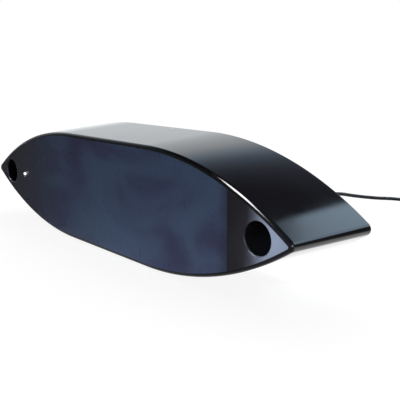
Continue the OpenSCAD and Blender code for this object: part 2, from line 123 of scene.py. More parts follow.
def pick(piece):
    deselectAll()
    piece.select_set(True)
    bpy.context.view_layer.objects.active = piece


def editPiece(piece, kind="VERT"):
    pick(piece)
    bpy.ops.object.mode_set(mode="EDIT")
    bpy.ops.mesh.select_mode(type=kind)


def selectWhere(piece, kind, test):
    # picks, in edit mode, the faces or edges that pass the test
    editPiece(piece, kind)
    bpy.ops.mesh.select_all(action="DESELECT")
    leaveEdit()
    for item in piece.data.polygons if kind == "FACE" else piece.data.edges:
        item.select = test(item)
    bpy.ops.object.mode_set(mode="EDIT")


def startVertex(name, place):
    # a single vertex to draw on from, left in edit mode
    deselectAll()
    bpy.ops.mesh.primitive_plane_add(location=(0, 0, 0))
    piece = bpy.context.object
    piece.name = name
    piece.data.name = name
    editPiece(piece)
    selectAll()
    bpy.ops.mesh.merge(type="CENTER")
    bpy.ops.transform.translate(value=place)
    return piece


def extrudeBy(step):
    bpy.ops.mesh.extrude_region_move(TRANSFORM_OT_translate={"value": tuple(step)})


def drawLine(name, points):
    # edges from point to point, all selected
    piece = startVertex(name, points[0])
    for one, two in zip(points, points[1:]):
        extrudeBy([b - a for a, b in zip(one, two)])
    selectAll()
    return piece


def drawLoop(name, points):
    piece = drawLine(name, points + points[:1])
    bpy.ops.mesh.remove_doubles(threshold=meshForm["merge"])
    return piece


def levelLoop(name, outline, z):
    return drawLoop(name, [(x, y, z) for x, y in outline])


def cleanUp():
    selectAll()
    bpy.ops.mesh.remove_doubles(threshold=meshForm["merge"])
    bpy.ops.mesh.normals_make_consistent(inside=False)
    leaveEdit()


def arc(centre, radius, fromDeg, toDeg, count):
    angles = [math.radians(fromDeg + (toDeg - fromDeg) * i / count) for i in range(count + 1)]
    return [(centre[0] + radius * math.cos(a), centre[1] + radius * math.sin(a)) for a in angles]


def turned(name, profile, steps):
    # a profile of radius and height, drawn point by point and spun round the upright axis
    piece = drawLine(name, [(radius, 0, height) for radius, height in profile])
    bpy.ops.mesh.spin(steps=steps, angle=2 * math.pi, center=(0, 0, 0), axis=(0, 0, 1))
    cleanUp()
    return piece


def applyModifier(piece, kind, **values):
    pick(piece)
    modifier = piece.modifiers.new(kind.lower(), kind)
    for key, value in values.items():
        setattr(modifier, key, value)
    bpy.ops.object.modifier_apply(modifier=modifier.name)


def cutWith(piece, cutter):
    applyModifier(piece, "BOOLEAN", operation="DIFFERENCE", solver="EXACT", object=cutter)
    bpy.data.objects.remove(cutter)


def moveTo(piece, matrix):
    piece.matrix_world = matrix
    pick(piece)
    bpy.ops.object.transform_apply(location=True, rotation=True, scale=True)


def smoothOver(piece, degrees):
    pick(piece)
    bpy.ops.object.shade_smooth_by_angle(angle=math.radians(degrees))
    applyModifier(piece, "WEIGHTED_NORMAL", keep_sharp=True, weight=meshForm["bigFaces"])


def settled(piece, place, smoothDeg):
    # the finished piece in its place, its faces smooth where they meet within this angle
    moveTo(piece, place)
    smoothOver(piece, smoothDeg)
    return piece


def alongX(x):
    return standing @ Matrix.Translation((x, 0, 0))


def dress(piece, material):
    piece.data.materials.clear()
    piece.data.materials.append(material)


def rideRoot(piece, *replaced):
    deselectAll()
    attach(piece, "root")
    if replaced:
        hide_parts(*replaced)


def stepUp(t):
    t = min(max(t, 0.0), 1.0)
    return t * t * (3 - 2 * t)


def through(points, steps):
    # a smooth curve through all the points, the first and last included
    made = []
    for i in range(len(points) - 1):
        a, b = points[max(i - 1, 0)], points[i]
        c, d = points[i + 1], points[min(i + 2, len(points) - 1)]
        for j in range(steps):
            t = j / steps
            made.append((b * 2 + (c - a) * t + (a * 2 - b * 5 + c * 4 - d) * t ** 2
                         + (b * 3 - a - c * 3 + d) * t ** 3) / 2)
    return made + [points[-1]]


# Cable: where it leaves the hull side, its free stretch, the turns of its coil and its tail
cableForm = {
    "diameter": 0.006, "length": 10.0, "exitX": 0.225,
    "ferruleZ": 0.118,     # where the jacket ends inside
    "fillTop": 0.142,      # surface that the cable leaves
    "reliefEnd": 0.190,
    "curveSteps": 8,       # points between two of the route's points
    "coilAt": (0.401, 0.400),
    "coilMid": 0.054,      # radius at the middle of the turns
    "pitch": 0.0062,       # from turn to turn
    "layerPitch": 0.0061,  # from layer to layer
    "firstLayer": 0.0042,  # height of the lowest turns
    "layers": (7, 7, 7, 6),
    "stepDeg": 60,         # a turn moves over to the next within this angle
    "bulge": 0.0026,       # how far it swings out where it climbs to the next layer
    "bulgeLead": 0.4,      # share of that step by which the swing begins early and ends late
    "besideR": 0.080,      # radius just outside the coil
    "besideIn": 0.003,     # height where the cable comes to the coil
    "besideOut": 0.021,    # height where the tail leaves it
    "leaveFrom": -50, "leaveTo": 25,   # the last turn swings out between these angles
    "pointsPerTurn": 48,
    "roundSteps": 4,       # how finely its round section is drawn
}
freeRoute = [
    (0.225, 0.150, 0.1095), (0.227, 0.185, 0.111), (0.230, 0.220, 0.112), (0.235, 0.255, 0.110),
    (0.239, 0.285, 0.1055), (0.245, 0.315, 0.1015), (0.254, 0.345, 0.0985), (0.264, 0.375, 0.0965),
    (0.275, 0.405, 0.093), (0.291, 0.434, 0.087), (0.313, 0.460, 0.077), (0.341, 0.480, 0.064),
    (0.373, 0.490, 0.048), (0.405, 0.490, 0.032), (0.434, 0.480, 0.018), (0.458, 0.462, 0.0085),
    (0.474, 0.438, 0.004), (0.4805, 0.412, 0.003), (0.481, 0.400, 0.003),
]
tailRoute = [
    (0.4735, 0.3662, 0.021), (0.465, 0.348, 0.0195), (0.4555, 0.328, 0.0145), (0.447, 0.307, 0.0095),
    (0.4415, 0.287, 0.0063), (0.4385, 0.270, 0.0055), (0.437, 0.260, 0.0055), (0.4355, 0.250, 0.0055),
]


def woundTurns(form):
    # radius and height of each turn, in the order in which they are wound
    spots = []
    for layer, count in enumerate(form["layers"]):
        row = [form["coilMid"] + form["pitch"] * (k - (count - 1) / 2) for k in range(count)]
        if layer % 2 == 0:
            row.reverse()
        spots += [(radius, form["firstLayer"] + layer * form["layerPitch"]) for radius in row]
    return spots


def coilPlace(form, spots, angle):
    # where the cable is after this angle, clockwise from above, measured from where it comes in
    turn = min(int(angle // 360), len(spots) - 1)
    before = spots[turn - 1] if turn else (form["besideR"], form["besideIn"])
    moved = stepUp((angle - 360 * turn) / form["stepDeg"])
    radius = before[0] + (spots[turn][0] - before[0]) * moved
    height = before[1] + (spots[turn][1] - before[1]) * moved
    started, lead = 0, form["bulgeLead"]
    for layer, count in enumerate(form["layers"][:-1]):
        started += count
        part = ((angle - 360 * started) / form["stepDeg"] + lead) / (1 + 2 * lead)
        if 0 < part < 1:
            radius += form["bulge"] * math.sin(math.pi * part) ** 2 * (-1 if layer % 2 == 0 else 1)
    last = 360 * len(spots)
    away = stepUp((angle - last - form["leaveFrom"]) / (form["leaveTo"] - form["leaveFrom"]))
    radius += (form["besideR"] - radius) * away
    height += (form["besideOut"] - height) * away
    bearing = math.radians(-angle)
    return Vector((form["coilAt"][0] + radius * math.cos(bearing),
                   form["coilAt"][1] + radius * math.sin(bearing), height))


def cablePath(form):
    start = [stood(form["exitX"], 0, form["ferruleZ"]), stood(form["exitX"], 0, form["reliefEnd"])]
    points = through(start + [Vector(p) for p in freeRoute], form["curveSteps"])
    spots = woundTurns(form)
    angle = step = 360 / form["pointsPerTurn"]
    while angle < 360 * len(spots) + form["leaveTo"]:
        points.append(coilPlace(form, spots, angle))
        angle += step
    return points + through([Vector(p) for p in tailRoute], form["curveSteps"])


def makeCable(form):
    points = cablePath(form)
    data = bpy.data.curves.new("cable", "CURVE")
    data.dimensions = "3D"
    data.bevel_depth = form["diameter"] / 2
    data.bevel_resolution = form["roundSteps"]
    data.use_fill_caps = True
    spline = data.splines.new("POLY")
    spline.points.add(len(points) - 1)
    for spot, place in zip(spline.points, points):
        spot.co = (*place, 1)
    spline.use_smooth = True
    piece = bpy.data.objects.new("cableLead", data)
    scene.collection.objects.link(piece)
    return piece


cableLead = makeCable(cableForm)
print("cable laid")


# Housing: drafted lens-shaped block with rounded edges, two bolt wells and a seat for the button
housingForm = {
    "faceLength": 0.801, "flatLength": 0.220, "tipRadius": 0.008,
    "tipGrow": 0.2,  # share of the flare by which the tip's round grows towards the hull side
    "tipTurn": 8,  # angle at which the tip's round meets the flanks, in degrees
    "edgeRadius": 0.006, "rimRadius": 0.0025,
    "windowEnd": 0.291,  # the acoustic window's finish ends this far from the middle
    "windowThick": 0.014, "wallThick": 0.014, "cavityHalf": 0.3035,
    "wellX": 0.344, "wellRadius": 0.0225, "wellDepth": 0.095, "mouthRadius": 0.003,
    "flangeRadius": 0.0195, "flangeThick": 0.005, "sleeveRadius": 0.015, "boreRadius": 0.009,
    "buttonX": -0.280, "recessRadius": 0.007, "recessDepth": 0.0015, "recessLip": 0.0006,
    "stemHole": 0.00365, "stemHoleDepth": 0.016,
    "cutPast": 0.002,  # how far a cutter runs past the surface
    "smoothDeg": 32,
}
housingSteps = {"flank": 40, "tip": 10, "edge": 10, "rim": 5, "mouth": 8, "lip": 5, "well": 96, "recess": 64}


def flankSizes(form):
    # radius of the long flank arcs, and the height of their middle
    halfWidth = stance["faceWidth"] / 2
    tipIn = form["tipRadius"] * math.cos(math.radians(form["tipTurn"]))
    run = (form["faceLength"] - form["flatLength"]) / 2 - form["tipRadius"]
    radius = (run ** 2 + halfWidth ** 2 - tipIn ** 2) / (2 * halfWidth - 2 * tipIn)
    return radius, halfWidth - radius


def mirroredRound(quarter):
    # a whole outline from its upper right quarter
    half = quarter + [(x, -y) for x, y in reversed(quarter) if y > meshForm["merge"]]
    return half + [(-x, -y) for x, y in half]


def lensPoints(form, out):
    # outline of the lens, this far outside the face's own outline
    flankR, flankY = flankSizes(form)
    halfFlat = form["flatLength"] / 2
    big, small = flankR + out, form["tipRadius"] + out * form["tipGrow"]
    reach = math.sqrt((big - small) ** 2 - flankY ** 2)  # the tip's round touches both flanks from inside
    meet = math.degrees(math.atan2(-flankY, reach))
    quarter = arc((halfFlat, flankY), big, 90, meet, housingSteps["flank"])
    quarter += arc((halfFlat + reach, 0), small, meet, 0, housingSteps["tip"])[1:]
    return mirroredRound(quarter)


def cavityPoints(form):
    # outline set in by the wall and ended square before the bolt wells
    flankR, flankY = flankSizes(form)
    halfFlat, big = form["flatLength"] / 2, flankR - form["wallThick"]
    stop = math.degrees(math.acos((form["cavityHalf"] - halfFlat) / big))
    return mirroredRound(arc((halfFlat, flankY), big, 90, stop, housingSteps["flank"]))


def bridgeLoops(loops):
    # one piece of all the loops, with faces from each to the next, left in edit mode
    piece = loops[0]
    pick(piece)
    for other in loops[1:]:
        other.select_set(True)
    bpy.ops.object.join()
    editPiece(piece, "EDGE")
    selectAll()
    bpy.ops.mesh.bridge_edge_loops()
    return piece


def closedBlock(low, high):
    # the room between two outlines
    piece = bridgeLoops([low, high])
    bpy.ops.mesh.select_all(action="DESELECT")
    bpy.ops.mesh.select_non_manifold(extend=False)
    bpy.ops.mesh.fill_holes(sides=0)
    cleanUp()
    return piece


def bevelLevel(piece, z, offset, segments):
    # rounds the outline at this height
    def atLevel(edge):
        return all(abs(piece.data.vertices[i].co.z - z) < meshForm["level"] for i in edge.vertices)

    selectWhere(piece, "EDGE", atLevel)
    bpy.ops.mesh.bevel(offset=offset, segments=segments, profile=0.5, affect="EDGES")
    leaveEdit()


def makeCavityCut(form):
    outline = cavityPoints(form)
    low = levelLoop("cavityCut", outline, form["windowThick"])
    return closedBlock(low, levelLoop("cavityTop", outline, stance["depth"] + form["cutPast"]))


def makeWellCut(form):
    wellR, mouth, deep, past = form["wellRadius"], form["mouthRadius"], form["wellDepth"], form["cutPast"]
    lip, under, back = wellR + mouth, deep + form["flangeThick"], stance["depth"] + past
    profile = [(0, -past), (lip, -past)] + arc((lip, mouth), mouth, 270, 180, housingSteps["mouth"])
    profile += [(wellR, deep), (form["flangeRadius"], deep), (form["flangeRadius"], under)]
    profile += [(form["sleeveRadius"], under), (form["sleeveRadius"], back), (0, back)]
    return turned("wellCut", profile, housingSteps["well"])


def makeButtonCut(form):
    seat, lip, past, stem = form["recessDepth"], form["recessLip"], form["cutPast"], form["stemHole"]
    edge, deep = form["recessRadius"] + lip, form["stemHoleDepth"]
    profile = [(0, -past), (edge, -past)] + arc((edge, lip), lip, 270, 180, housingSteps["lip"])
    profile += [(form["recessRadius"], seat), (stem, seat), (stem, deep), (0, deep)]
    return turned("buttonCut", profile, housingSteps["recess"])


def markWindowEnd(piece, x):
    # an edge across the face where the window's finish ends
    selectWhere(piece, "FACE", lambda face: abs(face.center.z) < meshForm["level"])
    bpy.ops.mesh.bisect(plane_co=(x, 0, 0), plane_no=(1, 0, 0))
    leaveEdit()


def makeHousing(form):
    depth, wellX = stance["depth"], form["wellX"]
    low = levelLoop("housingShell", lensPoints(form, 0), 0)
    piece = closedBlock(low, levelLoop("hullLoop", lensPoints(form, stance["flare"]), depth))
    bevelLevel(piece, 0, form["edgeRadius"] * math.tan(math.pi / 4 - slope / 2), housingSteps["edge"])
    bevelLevel(piece, depth, form["rimRadius"] * math.tan(math.pi / 4 + slope / 2), housingSteps["rim"])
    cutWith(piece, makeCavityCut(form))
    for makeCut, x in ((makeWellCut, -wellX), (makeWellCut, wellX), (makeButtonCut, form["buttonX"])):
        cutter = makeCut(form)
        moveTo(cutter, Matrix.Translation((x, 0, 0)))
        cutWith(piece, cutter)
    for side in (-1, 1):
        markWindowEnd(piece, side * form["windowEnd"])
    return settled(piece, standing, form["smoothDeg"])


housing = makeHousing(housingForm)
print("housing shaped:", len(housing.data.polygons), "faces")


# Small turned and moulded pieces
def chamfered(radius, z, size, up):
    # two profile points that break an edge
    return [(radius - size, z), (radius, z + size)] if up else [(radius, z - size), (radius - size, z)]


sleeveForm = {"edge": 0.0006, "boreEdge": 0.0008, "steps": 72, "smoothDeg": 25}


def makeSleeve(name, side, form):
    h, edge, boreEdge = housingForm, form["edge"], form["boreEdge"]
    floor, back, bore = h["wellDepth"], stance["depth"], h["boreRadius"]
    under = floor + h["flangeThick"]
    profile = [(bore + boreEdge, floor)] + chamfered(h["flangeRadius"], floor, edge, True)
    profile += [(h["flangeRadius"], under), (h["sleeveRadius"], under)]
    profile += chamfered(h["sleeveRadius"], back, edge, False)
    profile += [(bore + boreEdge, back), (bore, back - boreEdge), (bore, floor + boreEdge)]
    piece = turned(name, profile + profile[:1], form["steps"])
    return settled(piece, alongX(side * h["wellX"]), form["smoothDeg"])


sleeveLeft = makeSleeve("boltSleeveLeft", -1, sleeveForm)
sleeveRight = makeSleeve("boltSleeveRight", 1, sleeveForm)

buttonForm = {
    "radius": 0.005, "domeRadius": 0.0075, "height": 0.006, "edge": 0.0005,
    "stemRadius": 0.0035, "stemLength": 0.028, "boreRadius": 0.002,
    "cap": 0.001,  # metal left between the bore and the dome
    "domeSteps": 14, "steps": 48, "smoothDeg": 35,
}


def makeButton(form):
    seat, stem, bore = housingForm["recessDepth"], form["stemRadius"], form["boreRadius"]
    domeZ = seat - form["height"] + form["domeRadius"]
    end, cap = seat + form["stemLength"], seat + form["cap"]
    rim = math.degrees(math.acos(form["radius"] / form["domeRadius"]))
    profile = arc((0, domeZ), form["domeRadius"], -90, -rim, form["domeSteps"])
    profile += chamfered(form["radius"], seat, form["edge"], False)
    profile += [(stem, seat), (stem, end), (bore, end), (bore, cap), (0, cap)]
    piece = turned("temperatureButton", profile, form["steps"])
    return settled(piece, alongX(housingForm["buttonX"]), form["smoothDeg"])


button = makeButton(buttonForm)

reliefForm = {
    "length": 0.048, "rootRadius": 0.010, "wall": 0.0016, "boreGap": 0.0001,
    "grooves": 6, "grooveDeep": 0.0014, "round": 0.0006,
    "collarRadius": 0.013, "collarFrom": 0.132, "collarTop": 0.138, "neckRadius": 0.0084,  # held in the fill
    "steps": 56, "smoothDeg": 40,
}


def makeRelief(form):
    base, cable, r = cableForm["fillTop"], cableForm["diameter"] / 2, form["round"]
    bore, thin = cable + form["boreGap"], cable + form["wall"]
    length, root = form["length"], form["rootRadius"]
    collar, neck, pitch = form["collarRadius"], form["neckRadius"], length / (form["grooves"] + 2)

    def taper(z):
        return root + (thin - root) * max(z - pitch, 0) / (length - pitch)

    profile = [(bore, form["collarFrom"]), (collar, form["collarFrom"]), (collar, form["collarTop"])]
    profile += [(neck, form["collarTop"]), (neck, base), (root - r, base), (root, base + r)]
    for i in range(1, form["grooves"] + 1):
        start, stop = (i + 0.5) * pitch, (i + 0.5) * pitch + pitch / 3
        low, high, floor = base + start, base + stop, taper(start) - form["grooveDeep"]
        profile += [(taper(start - r), low - r), (taper(start) - r, low), (floor + r, low), (floor, low + r)]
        profile += [(floor, high - r), (floor + r, high)]
        profile += [(taper(stop) - r, high), (taper(stop + r), high + r)]
    end = base + length
    profile += [(taper(length - r), end - r), (thin - r, end), (bore + r, end), (bore, end - r)]
    piece = turned("strainRelief", profile + profile[:1], form["steps"])
    return settled(piece, alongX(cableForm["exitX"]), form["smoothDeg"])


relief = makeRelief(reliefForm)

# Tie: a strap round the turns, with its locking head on top
tieForm = {
    "bearing": 177.5,
    "wide": 0.0075, "strapThick": 0.001, "corner": 0.0034, "cornerSteps": 6,
    "inHalf": 0.0216, "low": 0.0012, "high": 0.0255,  # the strap's own loop round the turns
    "head": (0.0075, 0.0095, 0.0046), "headBevel": 0.0007, "headOut": 0.004, "headGap": 0.0006,
    "slotEdge": 0.0011, "slotDeep": 0.001,  # the hollow at each end of the head
    "stub": (0.016, 0.00675, 0.0012), "stubBevel": 0.0003,  # the strap's cut end, which stands out
    "smoothDeg": 40,
}


def makeTie(form):
    inner, outer = cableForm["coilMid"] - form["inHalf"], cableForm["coilMid"] + form["inHalf"]
    c, low, high, half = form["corner"], form["low"], form["high"], form["wide"] / 2
    corners = ((outer - c, low + c), (outer - c, high - c), (inner + c, high - c), (inner + c, low + c))
    loop = []
    for number, corner in enumerate(corners):
        loop += arc(corner, c, 90 * number - 90, 90 * number, form["cornerSteps"])
    strap = drawLoop("coilTie", [(r, -half, z) for r, z in loop])
    extrudeBy((0, form["wide"], 0))
    cleanUp()
    applyModifier(strap, "SOLIDIFY", thickness=form["strapThick"], offset=1.0)
    for part in (makeTieHead(form), makeTieStub(form)):
        pick(strap)
        part.select_set(True)
        bpy.ops.object.join()
    turn = Matrix.Rotation(math.radians(form["bearing"]), 4, "Z")
    return settled(strap, Matrix.Translation((*cableForm["coilAt"], 0)) @ turn, form["smoothDeg"])


def makeTieBlock(form, out, sizes):
    # a block on top of the strap, its middle this far out from the head's
    deselectAll()
    bpy.ops.mesh.primitive_cube_add(size=1, location=(0, 0, 0))
    block = bpy.context.object
    x, z = cableForm["coilMid"] + form["headOut"] + out, form["high"] + form["head"][2] / 2 + form["headGap"]
    moveTo(block, Matrix.Translation((x, 0, z)) @ Matrix.Diagonal((*sizes, 1)))
    return block


def makeTieHead(form):
    head = makeTieBlock(form, 0, form["head"])
    selectWhere(head, "FACE", lambda face: abs(face.normal.x) > 0.9)  # both ends
    bpy.ops.mesh.inset(thickness=form["slotEdge"], use_individual=True)
    bpy.ops.mesh.extrude_region_shrink_fatten(TRANSFORM_OT_shrink_fatten={"value": -form["slotDeep"]})
    leaveEdit()
    applyModifier(head, "BEVEL", width=form["headBevel"], segments=3, limit_method="ANGLE")
    return head


def makeTieStub(form):
    stub = makeTieBlock(form, form["stub"][0] / 2, form["stub"])
    applyModifier(stub, "BEVEL", width=form["stubBevel"], segments=2)
    return stub


tie = makeTie(tieForm)

# Far end of the cable: a shrunk boot, and the cores that leave it
endForm = {
    "bootLength": 0.028, "bootRadius": 0.0055, "bootWall": 0.001, "bootEdge": (0.0004, 0.0005),
    "bootRound": 0.0015,
    "swellFrom": 0.25, "swellOver": 0.25,  # where the boot widens, as shares of its length
    "swellSteps": 8, "roundSteps": 6, "bootSteps": 40,
    "leads": 4, "leadRing": 0.00275, "leadRadius": 0.001, "leadLength": 0.032, "leadIn": 0.002,
    "strandRadius": 0.0006, "leadTotal": 0.040, "leadEdge": 0.0003, "leadSteps": 20,
    "smoothDeg": 40,
}
tailEnd, tailBefore = Vector(tailRoute[-1]), Vector(tailRoute[-2])
tailTurn = math.atan2(tailEnd.y - tailBefore.y, tailEnd.x - tailBefore.x)
onTail = Matrix.Translation(tailEnd) @ Matrix.Rotation(tailTurn, 4, "Z")
onTail = onTail @ Matrix.Rotation(math.pi / 2, 4, "Y")


def makeBoot(form):
    wall, length, radius, end = form["bootWall"], form["bootLength"], form["bootRadius"], form["bootRound"]
    thin, (edgeIn, edgeUp), steps = cableForm["diameter"] / 2 + wall, form["bootEdge"], form["swellSteps"]
    start, over = length * form["swellFrom"], length * form["swellOver"]
    profile = [(0, 0), (thin - edgeIn, 0), (thin, edgeUp), (thin, start)]
    for i in range(1, steps + 1):
        profile.append((thin + (radius - thin) * stepUp(i / steps), start + over * i / steps))
    profile.append((radius, length - 2 * wall))
    profile += arc((radius - end, length - end), end, 0, 90, form["roundSteps"])
    piece = turned("cableBoot", profile + [(0, length)], form["bootSteps"])
    return settled(piece, onTail, form["smoothDeg"])


def makeLead(number, form):
    r, strand, edge = form["leadRadius"], form["strandRadius"], form["leadEdge"]
    root, skin, total = -form["leadIn"], form["leadLength"], form["leadTotal"]
    profile = [(0, root), (r, root), (r, skin - edge), (r - edge, skin)]
    profile += [(strand, skin), (strand, total - edge), (strand - edge, total), (0, total)]
    piece = turned("endLead%d" % number, profile, form["leadSteps"])
    turn = Matrix.Rotation(2 * math.pi * (number - 0.5) / form["leads"], 4, "Z")
    place = onTail @ Matrix.Translation((0, 0, form["bootLength"])) @ turn
    return settled(piece, place @ Matrix.Translation((form["leadRing"], 0, 0)), form["smoothDeg"])


boot = makeBoot(endForm)
endLeads = [makeLead(n + 1, endForm) for n in range(endForm["leads"])]

# Edge of the cast fill, drawn a little up the cavity's wall as it set
meniscusForm = {"reach": 0.0022, "climb": 0.0007, "sink": 0.0004, "thick": 0.0006,
                "steps": 4, "smoothDeg": 50}


def makeMeniscus(form):
    wall = [Vector(spot) for spot in cavityPoints(housingForm)]
    inward = []
    for i in range(len(wall)):
        along = (wall[(i + 1) % len(wall)] - wall[i - 1]).normalized()
        inward.append(Vector((along.y, -along.x)))
    loops = []
    for step in range(form["steps"] + 1):
        part = step / form["steps"]
        z = cableForm["fillTop"] - form["sink"] * part + form["climb"] * (1 - part) ** 2
        outline = [spot + way * form["reach"] * part for spot, way in zip(wall, inward)]
        loops.append(levelLoop("fillMeniscus", outline, z))
    piece = bridgeLoops(loops)
    cleanUp()
    if sum(face.normal.z for face in piece.data.polygons) < 0:  # its faces look out of the hull side
        selectWhere(piece, "FACE", lambda face: True)
        bpy.ops.mesh.flip_normals()
        leaveEdit()
    applyModifier(piece, "SOLIDIFY", thickness=form["thick"], offset=-1.0)
    return settled(piece, standing, form["smoothDeg"])


meniscus = makeMeniscus(meniscusForm)
print("small pieces made")


# Shader helpers
def joinUp(tree, source, target):
    # a constant is set on the socket itself, anything else is linked to it
    if isinstance(source, (int, float, tuple)):
        target.default_value = source
    else:
        tree.links.new(source, target)


def newNode(tree, kind, sources=None, **settings):
    node = tree.nodes.new("ShaderNode" + kind)
    for key, value in settings.items():
        setattr(node, key, value)
    for key, source in (sources or {}).items():
        joinUp(tree, source, node.inputs[key])
    return node


def makeGroup(name, inputs, output, kind):
    group = bpy.data.node_groups.new(name, "ShaderNodeTree")
    for label, value in inputs.items():
        socket = group.interface.new_socket(name=label, in_out="INPUT", socket_type="NodeSocketFloat")
        socket.default_value = value
    group.interface.new_socket(name=output, in_out="OUTPUT", socket_type="NodeSocket" + kind)
    return group, group.nodes.new("NodeGroupInput").outputs, group.nodes.new("NodeGroupOutput").inputs[output]


def objectCoords(tree, scale=(1, 1, 1), shift=(0, 0, 0)):
    place = newNode(tree, "TexCoord").outputs["Object"]
    return newNode(tree, "Mapping", {"Vector": place, "Scale": scale, "Location": shift}).outputs["Vector"]


def noiseNode(tree, coords, **sources):
    return newNode(tree, "TexNoise", {"Vector": coords, **sources}).outputs["Fac"]


def rangeNode(tree, source, ends=(0, 1), low=0.0, high=1.0, edges="SMOOTHSTEP"):
    # goes from low to high while the source goes from one end to the other
    sources = {"Value": source, "From Min": ends[0], "From Max": ends[1], "To Min": low, "To Max": high}
    return newNode(tree, "MapRange", sources, interpolation_type=edges).outputs["Result"]


def mathNode(tree, operation, one, two):
    return newNode(tree, "Math", {0: one, 1: two}, operation=operation).outputs["Value"]


def timesNode(tree, one, two):
    return mathNode(tree, "MULTIPLY", one, two)


# masks of noise: the noise's own values, how it is stretched and moved, and how its edges run
maskForms = {
    "cloud": {"noise": {"Roughness": 0.55}},  # soft patches
    "streak": {"noise": {"Roughness": 0.6, "Distortion": 0.2}, "stretch": (0.12, 1, 1)},  # long thin marks
    "marble": {"noise": {"Roughness": 0.5, "Distortion": 0.9}, "stretch": (0.55, 1, 1),  # patches that flow
               "shift": (1.48, 0.0, 2.12), "edges": "SMOOTHSTEP"},
}


def maskGroup(name, form):
    inputs = {"Scale": 8, "Detail": 4, "From": 0.4, "To": 0.6}
    group, given, mask = makeGroup(name + "Mask", inputs, "Mask", "Float")
    coords = objectCoords(group, form.get("stretch", (1, 1, 1)), form.get("shift", (0, 0, 0)))
    noise = noiseNode(group, coords, Scale=given["Scale"], Detail=given["Detail"], **form["noise"])
    ends = (given["From"], given["To"])
    joinUp(group, rangeNode(group, noise, ends, edges=form.get("edges", "LINEAR")), mask)
    return group


def grainGroup():
    # fine grain over slow waves, as a normal
    inputs = {"Scale": 300, "Height": 2e-5, "Wave": 9, "Swell": 0.0004}
    group, given, normal = makeGroup("grainNormal", inputs, "Normal", "Vector")
    coords = objectCoords(group)
    wave = noiseNode(group, coords, Scale=given["Wave"], Detail=1)
    grain = noiseNode(group, coords, Scale=given["Scale"], Detail=3)
    swell = newNode(group, "Bump", {"Strength": 1, "Distance": given["Swell"], "Height": wave})
    bump = newNode(group, "Bump", {"Strength": 1, "Distance": given["Height"], "Height": grain,
                                   "Normal": swell.outputs["Normal"]})
    joinUp(group, bump.outputs["Normal"], normal)
    return group


def speckGroup():
    # round specks or cells, 1 at their middles
    group, given, mask = makeGroup("speckMask", {"Scale": 200, "Size": 0.3}, "Mask", "Float")
    cells = newNode(group, "TexVoronoi", {"Vector": objectCoords(group), "Scale": given["Scale"]})
    joinUp(group, rangeNode(group, cells.outputs["Distance"], (0, given["Size"]), 1, 0, "LINEAR"), mask)
    return group


# the edge of the painted end shade and sheen wanders as set here
swayForm = {"scale": 22, "detail": 3, "reach": 0.012}  # how the edge of an end's colour wanders


def endwardsGroup(form):
    # rises from 0 towards one end of the part, a little broken up: Side is 1 or -1. It carries the painted
    # shade and painted sheen of the face's ends
    inputs = {"Side": 1, "From": 0.25, "To": 0.29, "Share": 1}
    group, given, mask = makeGroup("endwardsMask", inputs, "Mask", "Float")
    coords = objectCoords(group)
    noise = noiseNode(group, coords, Scale=form["scale"], Detail=form["detail"])
    sway = rangeNode(group, noise, low=-form["reach"], high=form["reach"], edges="LINEAR")
    along = newNode(group, "SeparateXYZ", {"Vector": coords}).outputs["X"]
    moved = mathNode(group, "ADD", timesNode(group, along, given["Side"]), sway)
    joinUp(group, rangeNode(group, moved, (given["From"], given["To"]), high=given["Share"]), mask)
    return group


effects = {name: maskGroup(name, form) for name, form in maskForms.items()}
effects.update(grain=grainGroup(), speck=speckGroup(), endwards=endwardsGroup(swayForm))


def useEffect(tree, name, **values):
    node = tree.nodes.new("ShaderNodeGroup")
    node.node_tree = effects[name]
    for key, value in values.items():
        node.inputs[key].default_value = value
    return node.outputs[0]


def useMask(tree, name, scale, ends, detail):
    return useEffect(tree, name, Scale=scale, Detail=detail, From=ends[0], To=ends[1])


def mixColour(tree, mask, low, high):
    low, high = ((*colour, 1) if isinstance(colour, tuple) else colour for colour in (low, high))
    return newNode(tree, "Mix", {0: mask, 6: low, 7: high}, data_type="RGBA").outputs[2]


def newMaterial(name, constants):
    material = bpy.data.materials.new(name)
    material.use_nodes = True
    shader = material.node_tree.nodes["Principled BSDF"]
    for key, value in constants.items():
        shader.inputs[key].default_value = value
    return material, material.node_tree, shader


def finishMaterial(tree, shader, colour, spread, rough, normal):
    joinUp(tree, colour, shader.inputs["Base Color"])
    joinUp(tree, rangeNode(tree, spread, (0, 1), *rough, "LINEAR"), shader.inputs["Roughness"])
    joinUp(tree, normal, shader.inputs["Normal"])


# Materials of the moulding
mouldForm = {
    "ior": 1.45,
    "patchEdges": (0.36, 0.66),
    "fineTimes": 5, "fineEdges": (0.30, 0.75),  # finer patches, for the roughness
    "scuffScale": 34, "scuffEdges": (0.63, 0.80), "scuffShare": 0.25,  # faint marks along the part
    "swell": 0.0001,
}
housingLook = {
    "dark": (0.0042, 0.0042, 0.0052), "light": (0.0075, 0.0075, 0.0090), "worn": (0.014, 0.014, 0.016),
    "rough": (0.08, 0.12), "patches": "cloud", "scale": 7, "grain": 420, "grainHeight": 3e-6, "wave": 7,
    "ends": (),
}
